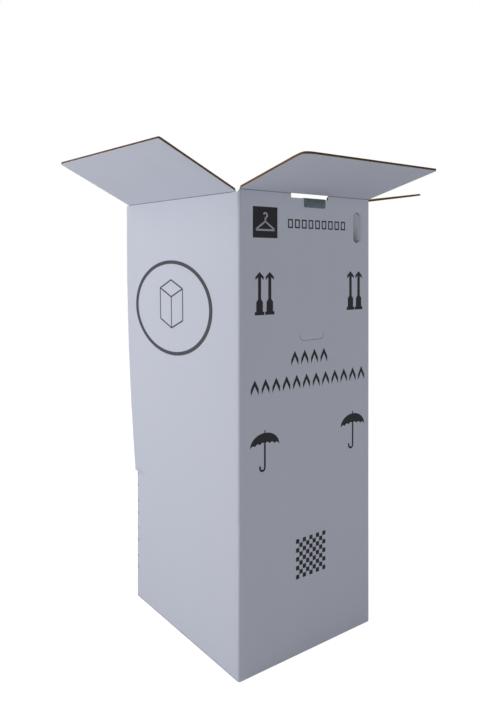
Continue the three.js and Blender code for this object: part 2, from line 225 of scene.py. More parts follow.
@dataclass(frozen=True)
class CutBoard:
    """Cut edge of double-wall board: brown paper with painted shade in a row of dark stripes, where the
    mouths of its flutes lie in shadow.
    """

    name: str = "cut_board"
    paper: str = "9b7a58"
    # painted shade: the dark colour of the flute mouths stands in for the shadow inside them
    mouth_shade: str = "3d3128"
    pitch: float = 6.8 * MM
    grain_size: float = MM / 0.7  # coarser than real fibres too
    mouth_shade_range: tuple[float, float] = (0.1, 1.2)
    roughness: float = 0.92
    gloss: float = 0.15

    def build(self) -> Material:
        """Makes the material.

        Returns:
            The cut edge's material.
        """
        material, tree, shader = new_material(
            self.name, {"Roughness": self.roughness, "Specular IOR Level": self.gloss})
        place = add_node(tree, "ShaderNodeTexCoord").outputs["Object"]
        # painted shade: dark stripes where the flute mouths lie in shadow
        mouth_shade_stripes = ridges(tree, place, Vector((1.0, 1.0, 0.0)) / self.pitch)
        grain = add_node(tree, "ShaderNodeTexNoise", {"Scale": 1 / self.grain_size, "Detail": 2.0},
                         {"Vector": place}).outputs["Fac"]
        ragged = add_node(tree, "ShaderNodeMath", links={0: mouth_shade_stripes, 1: grain}, operation="ADD").outputs[0]
        least, most = self.mouth_shade_range
        share = add_node(tree, "ShaderNodeMapRange", {"From Min": least, "From Max": most},
                         {"Value": ragged}).outputs[0]
        colour_surface(tree, shader, (self.paper, self.mouth_shade), share)
        return material


@dataclass(frozen=True)
class GalvanisedSteel:
    """Hot-dip galvanised strip: grey metal with cloudy crystals and fine rolling lines along its length."""

    name: str = "galvanised_strip"
    colour: str = "464f53"
    crystal: str = "545d61"
    crystal_size: float = 7 * MM
    roughness: tuple[float, float] = (0.34, 0.5)
    line_pitch: float = 2.4 * MM  # coarser than real rolling lines, so that they show
    line_height: float = 0.05 * MM
    line_strength: float = 0.5

    def build(self) -> Material:
        """Makes the material.

        Returns:
            The steel's material.
        """
        material, tree, shader = new_material(self.name, {"Metallic": 1.0})
        place = add_node(tree, "ShaderNodeTexCoord").outputs["Object"]
        scale = {"Scale": 1 / self.crystal_size}
        crystals = add_node(tree, "ShaderNodeTexVoronoi", scale, {"Vector": place}).outputs["Color"]
        shade = add_node(tree, "ShaderNodeSeparateColor", links={0: crystals})
        colour_surface(tree, shader, (self.colour, self.crystal), shade.outputs[0])
        least, most = self.roughness
        rough = add_node(tree, "ShaderNodeMapRange", {"To Min": least, "To Max": most},
                         {"Value": shade.outputs[1]})
        tree.links.new(rough.outputs[0], shader.inputs["Roughness"])
        lines = ridges(tree, place, Vector((1 / self.line_pitch, 0.0, 0.0)))
        relief = {"Strength": self.line_strength, "Distance": self.line_height}
        rolled = add_node(tree, "ShaderNodeBump", relief, {"Height": lines})
        tree.links.new(rolled.outputs[0], shader.inputs["Normal"])
        return material


@dataclass(frozen=True)
class PackingTape:
    """Brown polypropylene film: smooth and glossy, rolled down over the ribs of the board."""

    name: str = "packing_tape"
    colour: str = "a8824f"
    streak: str = "957245"
    drag_length: float = 500 / 3 * MM
    drag_width: float = 25 / 3 * MM
    drag_height: float = 0.2 * MM
    drag_strength: float = 0.3
    roughness: float = 0.24

    def build(self) -> Material:
        """Makes the material.

        Returns:
            The tape's material.
        """
        material, tree, shader = new_material(self.name, {"Roughness": self.roughness})
        place = add_node(tree, "ShaderNodeTexCoord").outputs["Object"]
        scale = (1 / self.drag_length, 1 / self.drag_width, 1 / self.drag_width)
        along = add_node(tree, "ShaderNodeMapping", {"Scale": scale}, {"Vector": place}).outputs[0]
        drag = add_node(tree, "ShaderNodeTexNoise", {"Scale": 1.0, "Detail": 3.0},
                        {"Vector": along}).outputs["Fac"]
        colour_surface(tree, shader, (self.colour, self.streak), drag)
        relief = {"Strength": self.drag_strength, "Distance": self.drag_height}
        rolled = add_node(tree, "ShaderNodeBump", relief, {"Height": drag})
        tree.links.new(rolled.outputs[0], shader.inputs["Normal"])
        return material


@dataclass(frozen=True)
class PrintInk:
    """Flexographic ink: a matt film that lets a little of the paper show through."""

    name: str
    colour: str
    thin: str
    speckle_size: float = MM / 0.6
    speckle_range: tuple[float, float] = (0.52, 0.75)
    roughness: float = 0.7
    gloss: float = 0.2

    def build(self) -> Material:
        """Makes the material.

        Returns:
            The ink's material.
        """
        material, tree, shader = new_material(
            self.name, {"Roughness": self.roughness, "Specular IOR Level": self.gloss})
        place = add_node(tree, "ShaderNodeTexCoord").outputs["Object"]
        speckle = add_node(tree, "ShaderNodeTexNoise", {"Scale": 1 / self.speckle_size, "Detail": 3.0},
                           {"Vector": place}).outputs["Fac"]
        least, most = self.speckle_range
        share = add_node(tree, "ShaderNodeMapRange", {"From Min": least, "From Max": most},
                         {"Value": speckle}).outputs[0]
        colour_surface(tree, shader, (self.colour, self.thin), share)
        return material


def add_object(name: str, data: ID) -> Object:
    """Makes an object of its data and puts it in the scene."""
    made = bpy.data.objects.new(name, data)
    bpy.context.scene.collection.objects.link(made)
    return made


@dataclass(frozen=True)
class Piece:
    """What a finished mesh is called, the body that it rides on ("" for one that spans two bodies) and a
    record slot, which nothing here reads.
    """

    name: str
    body: str
    slot: str
    smooth_angle: float = 32.0

    def finish(self, bm: BMesh, materials: list[Material], *replaced: str) -> Object:
        """Turns a bmesh into a piece of the box.

        Args:
            bm: the shape, in place; it is freed.
            materials: the materials that its faces' indices mean.
            replaced: the CAD nodes that the piece stands for.

        Returns:
            The piece's object.
        """
        mesh = bpy.data.meshes.new(self.name)
        for face in bm.faces:
            face.smooth = True
        bm.to_mesh(mesh)
        bm.free()
        for material in materials:
            mesh.materials.append(material)
        mesh.set_sharp_from_angle(angle=math.radians(self.smooth_angle))
        made = add_object(self.name, mesh)
        if self.body:
            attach(made, self.body)
        if replaced:
            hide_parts(*replaced)
        LOG.info("%s: %d faces on %s", self.name, len(mesh.polygons), self.body or "two bodies")
        return made


def merged_copy(node: str) -> BMesh:
    """Copies a CAD node's triangles and joins them at their corners.

    Args:
        node: the node's name.

    Returns:
        The copy.
    """
    bm = bmesh.new()
    bm.from_mesh(frame["nodes"][node].data)
    bmesh.ops.remove_doubles(bm, verts=bm.verts, dist=MERGE_DISTANCE)
    return bm


def cut_along(bm: BMesh, place: Vector, normal: Vector) -> None:
    """Adds a loop where a plane crosses a mesh.

    Args:
        bm: the mesh.
        place: a point of the plane.
        normal: the plane's normal.
    """
    geom = [*bm.verts, *bm.edges, *bm.faces]
    bmesh.ops.bisect_plane(bm, geom=geom, dist=CUT_TOLERANCE, plane_co=place, plane_no=normal)


def trim(bm: BMesh, place: Vector, normal: Vector) -> None:
    """Cuts off what lies in front of a plane and closes the cut.

    Args:
        bm: the mesh.
        place: a point of the plane.
        normal: the plane's normal.
    """
    geom = [*bm.verts, *bm.edges, *bm.faces]
    made = bmesh.ops.bisect_plane(bm, geom=geom, dist=CUT_TOLERANCE, plane_co=place, plane_no=normal,
                                  clear_outer=True)
    edges = [item for item in made["geom_cut"] if isinstance(item, BMEdge)]
    bmesh.ops.holes_fill(bm, edges=edges, sides=0)


def add_to(bm: BMesh, part: BMesh) -> None:
    """Adds one mesh to another and frees it.

    Args:
        bm: the mesh that grows.
        part: the mesh that is added.
    """
    spare = bpy.data.meshes.new("part")
    part.to_mesh(spare)
    part.free()
    bm.from_mesh(spare)
    bpy.data.meshes.remove(spare)


def add_block(bm: BMesh, low: Vector, high: Vector) -> set[BMFace]:
    """Adds a box between two corners.

    Args:
        bm: the mesh that gets the box.
        low: its lowest corner.
        high: its highest corner.

    Returns:
        The box's faces.
    """
    place = Matrix.Translation((low + high) / 2) @ Matrix.Diagonal((*(high - low), 1))
    made = bmesh.ops.create_cube(bm, size=1, matrix=place)
    return {face for vertex in made["verts"] for face in vertex.link_faces}


class BoardFace(Enum):
    """What a face of the board shows; the values are its material's place on the piece."""

    OUTER = 0
    INNER = 1
    CUT = 2


@dataclass
class Carton:
    """The folded blank: four walls, base, lap, slots and hand holes.

    The facings say how squarely a face has to look in a direction to be taken for one that does.
    """

    tear_height: float = 0.430
    probe: float = 1.0 * MM
    soft_edge: float = 23 * MM
    soft_foot: float = 10 * MM
    grip_low: tuple[float, float, float] = (0.180, -0.3005, 1.19)
    grip_high: tuple[float, float, float] = (0.222, -0.250, 1.31)
    grip_fold: float = 0.200
    flat_facing: float = 0.8
    torn_facing: float = 0.7
    leaning_facing: float = 0.6
    folded_facing: float = 0.3

    def build(self, materials: list[Material]) -> Object:
        """Copies the carton, softens its folds and dresses each face of the board.

        Args:
            materials: outer liner, inner liner and cut edge.

        Returns:
            The carton's object.
        """
        bm = merged_copy("carton_body")
        x = CARTON_HIGH.x - self.soft_edge
        y = CARTON_HIGH.y - self.soft_edge
        heights = (self.soft_foot, self.tear_height - self.soft_foot, self.tear_height + self.soft_foot)
        for normal, places in zip(Matrix.Identity(3), ((x, -x), (y, -y), heights)):
            for place in places:
                cut_along(bm, normal * place, normal)
        for face in bm.faces:
            face.material_index = self.kind(face.calc_center_median(), face.normal).value
        return Piece("carton", "carton", "carton_board").finish(bm, materials, "carton_body")

    def kind(self, centre: Vector, normal: Vector) -> BoardFace:
        """Finds what a face of the carton shows.

        Args:
            centre: the face's middle.
            normal: the face's normal.

        Returns:
            The liner or the cut edge.
        """
        if all(low < at < high for low, at, high in zip(self.grip_low, centre, self.grip_high)):
            behind_wall = centre.y > BOARD - CARTON_HIGH.y
            return self.by_side(-normal.x) if behind_wall else self.fold_side(centre, normal)
        wall_x = CARTON_HIGH.x - BOARD
        wall_y = CARTON_HIGH.y - BOARD
        torn = centre.z > self.tear_height and centre.x < -wall_x and centre.y > wall_y
        if torn and normal.y > self.torn_facing:
            return BoardFace.CUT
        leaning = centre.x < -wall_x + self.probe and abs(centre.y) < wall_y
        if leaning and abs(normal.x) > self.leaning_facing:
            return self.by_side(-normal.x)
        at = centre + normal * self.probe
        if abs(at.x) < wall_x and abs(at.y) < wall_y and at.z > 2 * BOARD:
            return BoardFace.INNER
        past_inside = Vector((max(abs(at.x) - wall_x, 0), max(abs(at.y) - wall_y, 0)))
        outside = at.z < 0 or past_inside.length > BOARD
        return BoardFace.OUTER if outside else BoardFace.CUT

    def fold_side(self, centre: Vector, normal: Vector) -> BoardFace:
        """Sorts a face of the hand hole's edge: the liner runs round its right side into the folded tab.

        Args:
            centre: the face's middle.
            normal: the face's normal.

        Returns:
            The liner, or the cut edge.
        """
        if normal.y < -self.flat_facing:
            return BoardFace.OUTER
        folded = centre.x > self.grip_fold and normal.x < -self.folded_facing
        return BoardFace.OUTER if folded else BoardFace.CUT

    def by_side(self, outwards: float) -> BoardFace:
        """Sorts a face by how far it faces out of the carton."""
        if abs(outwards) <= self.flat_facing:
            return BoardFace.CUT
        return BoardFace.OUTER if outwards > 0 else BoardFace.INNER


@dataclass
class Flap:
    """A top flap of double-wall board, built of its liners and its two rows of flutes."""

    side: str
    tilt: float
    run: FluteRun
    dent_side: int = 0
    hinge_offset: float = 0.2 * MM
    liner: float = 0.45 * MM
    middle_liner: float = 0.4 * MM
    medium: float = 0.28 * MM
    small_flute: float = 2.2 * MM
    small_pitch: float = 6.3 * MM
    large_pitch: float = 7.6 * MM
    steps_a_wave: int = 8
    steps_a_flute: int = 4
    sheet_cuts: int = 11
    flat_facing: float = 0.9
    fold: float = 12 * MM
    mitre_angle: float = 48.0
    mitre_foot: float = 0.1 * MM
    least_slant: float = 0.1 * MM
    corner: float = 3.2 * MM
    dent_reach: float = 34 * MM
    dent_depth: float = 3 * MM
    dent_loops: tuple[float, ...] = (1.0, 0.66, 0.33)

    def hinge(self) -> Matrix:
        """Works out the crease's frame.

        Returns:
            The matrix from the crease's frame (X along the crease, Y into the carton, Z up) to the world.
        """
        joint = next(j for j in frame["joints"] if j["name"] == f"{self.side}_flap_fold")
        along = -Vector(joint["axis"]).normalized()
        inwards = Vector((0, 0, 1)).cross(along)
        hinge = Matrix((along, inwards, (0, 0, 1))).transposed().to_4x4()
        hinge.translation = Vector(joint["pos_m"])
        return hinge

    def turn(self) -> Matrix:
        """Gives the turn about the crease from upright down to the flap's tilt above level."""
        return Matrix.Rotation(math.radians(90 - self.tilt), 4, "X")

    def placing(self) -> Matrix:
        """Gives the flap's own frame: X along the crease, Y into the carton, Z to the free edge."""
        return self.hinge() @ self.turn()

    def outline(self, placing: Matrix) -> tuple[float, list[float], list[float]]:
        """Reads the flap's length and sides off its CAD node.

        Args:
            placing: the flap's own frame.

        Returns:
            Its length, and its two sides at the crease and at the free edge.
        """
        back = placing.inverted()
        points = [back @ vertex.co for vertex in frame["nodes"][f"{self.side}_flap"].data.vertices]
        length = max(point.z for point in points)
        near = [point.x for point in points if point.z < self.fold]
        far = [point.x for point in points if point.z > length - self.fold]
        return length, [min(near), max(near)], [min(far), max(far)]

    def build(self, outer: Material, inner: Material, cut: Material) -> Object:
        """Builds the flap.

        Args:
            outer: the outer liner's material.
            inner: the inner liner's material.
            cut: the material of the flutes and of cut edges.

        Returns:
            The flap's object.
        """
        placing = self.placing()
        length, near, far = self.outline(placing)
        sides = (min(near[0], far[0]), max(near[1], far[1]))
        start = self.hinge_offset
        end = start + BOARD
        middle = start + self.liner + self.small_flute
        upper = middle + self.middle_liner
        bm = bmesh.new()
        self.add_sheet(bm, start, self.liner, sides, length, BoardFace.OUTER)
        self.add_sheet(bm, middle, self.middle_liner, sides, length, BoardFace.INNER)
        self.add_sheet(bm, end - self.liner, self.liner, sides, length, BoardFace.INNER)
        self.add_flutes(bm, start + self.liner, middle, self.small_pitch, sides, length)
        self.add_flutes(bm, upper, end - self.liner, self.large_pitch, sides, length)
        self.add_fold(bm, sides)
        self.trim_sides(bm, length, near, far)
        self.dent(bm, length, far)
        bm.transform(placing)
        piece = Piece(f"{self.side}_top_flap", f"{self.side}_top", "flap_board")
        return piece.finish(bm, [outer, inner, cut], f"{self.side}_flap")

    def add_sheet(self, bm: BMesh, start: float, thickness: float, sides: tuple[float, float],
                  length: float, face: BoardFace) -> None:
        """Adds one flat liner, from the fold to the free edge.

        Args:
            bm: the flap's mesh.
            start: where the liner starts across the board.
            thickness: the liner's thickness.
            sides: where the liner starts and ends along the crease.
            length: the flap's length.
            face: what the liner's outward face shows.
        """
        low = Vector((sides[0], start, self.fold))
        faces = add_block(bm, low, Vector((sides[1], start + thickness, length)))
        for item in faces:
            outwards = item.normal.y < -self.flat_facing
            item.material_index = face.value if outwards else BoardFace.INNER.value
        edges = {edge for item in faces for edge in item.edges}
        long_edges = [edge for edge in edges if edge.calc_length() > 2 * thickness]
        bmesh.ops.subdivide_edges(bm, edges=long_edges, cuts=self.sheet_cuts, use_grid_fill=True)

    def add_flutes(self, bm: BMesh, start: float, end: float, pitch: float,
                   sides: tuple[float, float], length: float) -> None:
        """Adds one row of flutes, which run from the fold to the free edge.

        Args:
            bm: the flap's mesh.
            start: where the row starts across the board.
            end: where it ends across the board.
            pitch: the distance between two flutes.
            sides: where the row starts and ends along the crease.
            length: the flap's length.
        """
        waves = round((sides[1] - sides[0]) / pitch)
        row = bmesh.new()
        standing = Matrix.Rotation(math.radians(90), 4, "X")
        bmesh.ops.create_grid(row, x_segments=waves * self.steps_a_wave, y_segments=self.steps_a_flute,
                              size=0.5, matrix=standing)
        swing = (end - start - self.medium) / 2
        for vertex in row.verts:
            share = vertex.co.x + 0.5
            vertex.co.x = sides[0] + share * (sides[1] - sides[0])
            vertex.co.z = self.fold + (vertex.co.z + 0.5) * (length - self.fold)
            vertex.co.y = (start + end) / 2 + swing * math.cos(2 * math.pi * waves * share)
        row.normal_update()
        bmesh.ops.solidify(row, geom=row.faces, thickness=self.medium)
        bmesh.ops.translate(row, verts=row.verts, vec=(0, self.medium / 2, 0))
        for face in row.faces:
            face.material_index = BoardFace.CUT.value
        bmesh.ops.recalc_face_normals(row, faces=row.faces)
        add_to(bm, row)

    def add_fold(self, bm: BMesh, sides: tuple[float, float]) -> None:
        """Adds the crushed strip of board along the crease, mitred on the inside as the CAD flap is.

        Args:
            bm: the flap's mesh.
            sides: where the strip starts and ends along the crease.
        """
        low = Vector((sides[0], self.hinge_offset, 0))
        faces = add_block(bm, low, Vector((sides[1], self.hinge_offset + BOARD, self.fold)))
        for vertex in {vertex for face in faces for vertex in face.verts}:
            if vertex.co.z < self.fold / 2:
                vertex.co.z = vertex.co.y * math.tan(math.radians(self.mitre_angle)) + self.mitre_foot
        for face in faces:
            face.normal_update()
            kind = BoardFace.OUTER if face.normal.y < -self.flat_facing else BoardFace.INNER
            if abs(face.normal.x) > self.flat_facing:
                kind = BoardFace.CUT
            face.material_index = kind.value

    def trim_sides(self, bm: BMesh, length: float, near: list[float], far: list[float]) -> None:
        """Trims the flap to its sides and takes its sharp corners off.

        Args:
            bm: the flap's mesh.
            length: the flap's length.
            near: its two sides at the crease.
            far: its two sides at the free edge.
        """
        for side, outwards in ((0, -1), (1, 1)):
            slant = Vector((far[side] - near[side], 0, length))
            if abs(slant.x) > self.least_slant:
                normal = Vector((outwards * slant.z, 0, -outwards * slant.x)).normalized()
                trim(bm, Vector((near[side], 0, 0)), normal)
            tip = Vector((far[side] - outwards * self.corner, 0, length))
            trim(bm, tip, Vector((outwards, 0, 1)).normalized())

    def dent(self, bm: BMesh, length: float, far: list[float]) -> None:
        """Bends the free corner that has been knocked.

        Args:
            bm: the flap's mesh.
            length: the flap's length.
            far: its two sides at the free edge.
        """
        if self.dent_side == 0:
            return
        corner = Vector((far[0] if self.dent_side < 0 else far[1], 0, length))
        for share in self.dent_loops:
            back = share * self.dent_reach
            cut_along(bm, corner - Vector((0, 0, back)), Vector((0, 0, 1)))
            cut_along(bm, corner - Vector((self.dent_side * back, 0, 0)), Vector((1, 0, 0)))
        for vertex in bm.verts:
            away = (Vector((vertex.co.x, 0, vertex.co.z)) - corner).length
            share = max(0.0, 1 - away / self.dent_reach)
            vertex.co.y -= self.dent_depth * share * share


@dataclass
class CreaseShadeStrip:
    """The outer liner where it bends across a crease, with painted shade: a dark strip along the crease,
    where the fold lies in shadow.
    """

    flap: Flap
    slot: tuple[float, float] | None = None
    reach: float = 1.5 * MM
    stand_off: float = 0.14 * MM
    paper: float = 0.06 * MM
    end_gap: float = 1 * MM

    def build(self, paper: Material) -> Object:
        """Builds the strip, which bends between the wall and the flap.

        Args:
            paper: the strip's material, a dark grey liner that is painted shade.

        Returns:
            The strip's object.
        """
        low, high = self.flap.outline(self.flap.placing())[1]
        low += self.end_gap
        high -= self.end_gap
        spans = [(low, high)] if self.slot is None else [(low, self.slot[0]), (self.slot[1], high)]
        profile = [Vector((0, self.stand_off, -self.reach)), Vector(),
                   self.flap.turn() @ Vector((0, self.stand_off, self.reach))]
        bm = bmesh.new()
        for span in spans:
            rows = [[bm.verts.new(point + Vector((x, 0, 0))) for x in span] for point in profile]
            for lower, upper in zip(rows, rows[1:]):
                bm.faces.new([lower[0], lower[1], upper[1], upper[0]])
        bm.normal_update()
        bmesh.ops.solidify(bm, geom=bm.faces, thickness=self.paper)
        bmesh.ops.recalc_face_normals(bm, faces=bm.faces)
        hinge = self.flap.hinge()
        bm.transform(hinge)
        side = self.flap.side
        made = Piece(f"{side}_score_line", "", "carton_board").finish(bm, [paper])
        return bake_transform(made)


@dataclass
class Rail:
    """The hanging rail: a steel strip hooked over both walls and folded into a channel between them."""

    smooth_angle: float = 38.0

    def build(self, steel: Material) -> Object:
        """Copies the rail with its bends smoothed.

        Args:
            steel: the strip's material.

        Returns:
            The rail's object.
        """
        piece = Piece("rail_strip", "carton", "galvanised_steel", self.smooth_angle)
        return piece.finish(merged_copy("hanging_rail"), [steel], "hanging_rail")


class Wall(Enum):
    """A printed wall; the value is the matrix from its print's plane (X right, Y up, millimetres)."""

    FRONT = Matrix(((MM, 0, 0, 0), (0, 0, -MM, -CARTON_HIGH.y), (0, MM, 0, 0), (0, 0, 0, 1)))
    LEFT = Matrix(((0, 0, -MM, -CARTON_HIGH.x), (-MM, 0, 0, 0), (0, MM, 0, 0), (0, 0, 0, 1)))


Point = tuple[float, float]


@dataclass
class Print:
    """A print on a wall, drawn in millimetres in the wall's plane and laid on it as a film of ink."""

    name: str
    wall: Wall
    film: float = 0.12
    stand_off: float = 0.1

    def __post_init__(self) -> None:
        """Starts an empty drawing."""
        self.bm = bmesh.new()

    def shape(self, points: list[Point]) -> "Print":
        """Adds a filled outline.

        Args:
            points: its corners.

        Returns:
            The print.
        """
        self.bm.faces.new([self.bm.verts.new((x, y, 0)) for x, y in points])
        return self

    def bar(self, low: Point, high: Point) -> "Print":
        """Adds a filled rectangle between two corners."""
        return self.shape([low, (high[0], low[1]), high, (low[0], high[1])])

    def line(self, start: Point, end: Point, stroke: float) -> "Print":
        """Adds a straight stroke."""
        a, b = Vector(start), Vector(end)
        across = Vector((a.y - b.y, b.x - a.x)).normalized() * stroke / 2
        return self.shape([tuple(a - across), tuple(b - across), tuple(b + across), tuple(a + across)])

    def frame_box(self, low: Point, high: Point, stroke: float) -> "Print":
        """Adds the outline of a rectangle, drawn with a stroke inside it."""
        self.bar(low, (high[0], low[1] + stroke)).bar((low[0], high[1] - stroke), high)
        self.bar((low[0], low[1] + stroke), (low[0] + stroke, high[1] - stroke))
        return self.bar((high[0] - stroke, low[1] + stroke), (high[0], high[1] - stroke))

    def arc(self, centre: Point, radii: Point, start: float, sweep: float, steps: int = 16,
            squeeze: float = 1.0) -> "Print":
        """Adds a band round a centre.

        Args:
            centre: the centre.
            radii: the band's inner and outer radius.
            start: the angle that it starts at, in degrees.
            sweep: the angle that it covers.
            steps: how many steps it has.
            squeeze: how much wider than high it is.

        Returns:
            The print.
        """
        band = bmesh.new()
        turn = Matrix.Rotation(math.radians(start), 3, "Z")
        ends = [band.verts.new(turn @ Vector((radius, 0, 0))) for radius in radii]
        edge = band.edges.new(ends)
        bmesh.ops.spin(band, geom=[*ends, edge], cent=(0, 0, 0), axis=(0, 0, 1), angle=math.radians(sweep),
                       steps=steps, use_merge=sweep >= 360)
        bmesh.ops.scale(band, vec=(squeeze, 1, 1), verts=band.verts)
        bmesh.ops.translate(band, vec=(*centre, 0), verts=band.verts)
        add_to(self.bm, band)
        return self

    def finish(self, ink: Material, surface: BVHTree | None = None) -> Object:
        """Gives the drawing its thickness and lays it on its wall.

        Args:
            ink: the ink's material.
            surface: the wall's surface, if the print follows one that isn't flat.

        Returns:
            The print's object.
        """
        bm = self.bm
        bmesh.ops.recalc_face_normals(bm, faces=bm.faces)
        bmesh.ops.reverse_faces(bm, faces=[face for face in bm.faces if face.normal.z > 0])
        made = bmesh.ops.extrude_face_region(bm, geom=bm.faces[:])
        tops = [item for item in made["geom"] if isinstance(item, BMVert)]
        bmesh.ops.translate(bm, verts=tops, vec=(0, 0, self.film))
        bmesh.ops.translate(bm, verts=bm.verts, vec=(0, 0, self.stand_off))
        bm.transform(self.wall.value)
        bmesh.ops.recalc_face_normals(bm, faces=bm.faces)
        if surface:
            inwards = Vector((1, 0, 0))
            for vertex in bm.verts:
                hit = surface.ray_cast(vertex.co - inwards, inwards)[0]
                vertex.co += inwards * (hit.x - self.wall.value.translation.x)
        return Piece(self.name, "carton", "carton_board").finish(bm, [ink])


@dataclass
class Prints:
    """Everything printed on the walls, in millimetres: handling marks and plain shapes."""

    arrow_base: float = 993.5
    arrow_places: tuple[float, ...] = (-183.6, -147.5, 170.7, 206.3)
    arrow_half: tuple[Point, ...] = (
        (16.5, 0.0), (16.5, 9.0), (11.5, 9.0), (11.5, 36.0), (5.3, 44.0), (5.3, 105.0), (14.5, 97.5),
        (14.5, 106.0))
    arrow_height: float = 120.0
    umbrella_places: tuple[Point, ...] = ((-165.0, 626.5), (180.0, 633.5))
    square_low: Point = (-207.0, 1208.5)
    square_high: Point = (-120.0, 1295.5)
    box_row: Point = (-81.0, 1239.0)
    box_size: Point = (18.5, 26.0)
    box_pitch: float = 26.2
    box_count: int = 9
    box_stroke: float = 4.0
    mark_height: float = 43.0
    mark_stroke: float = 11.7
    mark_width: float = 27.3
    mark_slope: float = 1.45
    upper_marks: tuple[float, float, int] = (-69.0, 842.0, 4)
    lower_marks: tuple[float, float, int] = (-214.0, 772.0, 12)
    mark_pitch: float = 38.0
    checker_low: Point = (-51.0, 221.0)
    checker_size: float = 116.0
    checker_count: int = 9
    checker_gap: float = 0.2
    oval_centre: Point = (-31.0, 1000.5)
    oval_radii: Point = (135.5, 146.5)
    oval_squeeze: float = 1.45
    oval_steps: int = 96
    over_print: float = 0.3
    over_curve: float = 0.25
    nick_place: Point = (-287.0, 420.5)
    nick_size: Point = (6.5, 5.0)
    cut_length: float = 39.0
    cut_pitch: float = 92.5
    cut_count: int = 4

    def build(self, ink: Material, grey_ink: Material, paper: Material, shade: Material,
              surface: BVHTree) -> None:
        """Lays all prints on the walls.

        Args:
            ink: the black ink.
            grey_ink: the thinner ink of the left wall.
            paper: the paper colour, where a dark print leaves it free.
            shade: the shaded paper of the perforation's nicks.
            surface: the carton's surface.
        """
        for number, x in enumerate(self.arrow_places, 1):
            self.arrow(f"arrow_print_{number}", x).finish(ink)
        for number, place in enumerate(self.umbrella_places, 1):
            self.umbrella(f"umbrella_print_{number}", place).finish(ink)
        Print("square_print", Wall.FRONT).bar(self.square_low, self.square_high).finish(ink)
        self.hanger().finish(paper)
        self.tick_boxes().finish(ink)
        self.marks("upper_marks_print", *self.upper_marks).finish(ink)
        self.marks("lower_marks_print", *self.lower_marks).finish(ink)
        self.checker().finish(ink)
        self.oval().finish(grey_ink, surface)
        self.carton_drawing().finish(grey_ink, surface)
        self.nicks().finish(shade)

    def arrow(self, name: str, x: float) -> Print:
        """Draws an upright arrow with a broad foot.

        Args:
            name: the print's name.
            x: its middle.

        Returns:
            The print.
        """
        right = [(x + across, self.arrow_base + up) for across, up in self.arrow_half]
        left = [(x - across, self.arrow_base + up) for across, up in reversed(self.arrow_half)]
        return Print(name, Wall.FRONT).shape([*right, (x, self.arrow_base + self.arrow_height), *left])

    def umbrella(self, name: str, place: Point) -> Print:
        """Draws an umbrella with a scalloped rim and a hooked handle.

        Args:
            name: the print's name.
            place: the middle of its rim, level with its tips.

        Returns:
            The print.
        """
        x, z = place
        half_width, rise, hollow = 51.5, 38.0, 7.0
        scallops, scallop_rise, scallop_steps = 6, 5.0, 4
        stem, half_stem, overlap = 58.5, 3.0, 1.0
        pin, half_pin = 7.5, 1.8
        hook, hook_foot = (5.5, 11.5), 6.0
        hook_reach = sum(hook) / 2
        steps = scallops * scallop_steps
        shares = [step / steps for step in range(steps + 1)]
        crown = [(x + half_width * math.cos(math.pi * s), z + rise * math.sin(math.pi * s)) for s in shares]
        rim = [(x - half_width + 2 * half_width * s,
                z + hollow * math.sin(math.pi * s) + scallop_rise * abs(math.sin(math.pi * scallops * s)))
               for s in shares[1:-1]]
        drawing = Print(name, Wall.FRONT).shape(crown + rim)
        drawing.bar((x - half_pin, z + rise - overlap / 2), (x + half_pin, z + rise + pin))
        drawing.bar((x - half_stem, z - stem), (x + half_stem, z + hollow + overlap))
        x -= hook_reach
        drawing.arc((x, z - stem), hook, 180, 180)
        return drawing.bar((x - hook[1], z - stem), (x - hook[0], z - stem + hook_foot))

    def hanger(self) -> Print:
        """Draws a coat hanger, left free in the dark square.

        Returns:
            The print.
        """
        x = (self.square_low[0] + self.square_high[0]) / 2
        z = self.square_low[1]
        half_width, shoulder, neck, stroke = 32.0, 24.0, 46.0, 5.0
        half_bar, bar_height = 33.0, 22.0
        stem_top, hook_height, hook, hook_sweep = 57.0, 63.0, (4.0, 9.0), 250.0
        drawing = Print("hanger_print", Wall.FRONT, stand_off=self.over_print)
        for side in (-half_width, half_width):
            drawing.line((x + side, z + shoulder), (x, z + neck), stroke)
        drawing.line((x - half_bar, z + bar_height), (x + half_bar, z + bar_height), stroke)
        drawing.bar((x - stroke / 2, z + neck), (x + stroke / 2, z + stem_top))
        return drawing.arc((x, z + hook_height), hook, -90, hook_sweep)

    def tick_boxes(self) -> Print:
        """Draws a row of empty boxes to tick.

        Returns:
            The print.
        """
        drawing = Print("tick_box_print", Wall.FRONT)
        for number in range(self.box_count):
            low = (self.box_row[0] + number * self.box_pitch, self.box_row[1])
            high = (low[0] + self.box_size[0], low[1] + self.box_size[1])
            drawing.frame_box(low, high, self.box_stroke)
        return drawing

    def marks(self, name: str, start: float, z: float, count: int) -> Print:
        """Draws a row of marks that point up.

        Args:
            name: the print's name.
            start: where the row starts.
            z: where the marks stand.
            count: how many there are.

        Returns:
            The print.
        """
        drawing = Print(name, Wall.FRONT)
        half = self.mark_width / 2
        drop = self.mark_stroke * self.mark_slope
        for number in range(count):
            x = start + half + number * self.mark_pitch
            top = z + self.mark_height
            drawing.shape([(x - half, z + drop), (x - half, z), (x, top - drop), (x + half, z),
                           (x + half, z + drop), (x, top)])
        return drawing

    def checker(self) -> Print:
        """Draws a square of chequers.

        Returns:
            The print.
        """
        drawing = Print("checker_print", Wall.FRONT)
        cell = self.checker_size / self.checker_count
        for row in range(self.checker_count):
            for column in range(row % 2, self.checker_count, 2):
                x = self.checker_low[0] + column * cell
                z = self.checker_low[1] + row * cell
                drawing.bar((x, z), (x + cell - self.checker_gap, z + cell - self.checker_gap))
        return drawing

    def oval(self) -> Print:
        """Draws the oval line on the left wall.

        Returns:
            The print.
        """
        drawing = Print("oval_print", Wall.LEFT, stand_off=self.over_curve)
        return drawing.arc(self.oval_centre, self.oval_radii, 0, 360, self.oval_steps, self.oval_squeeze)

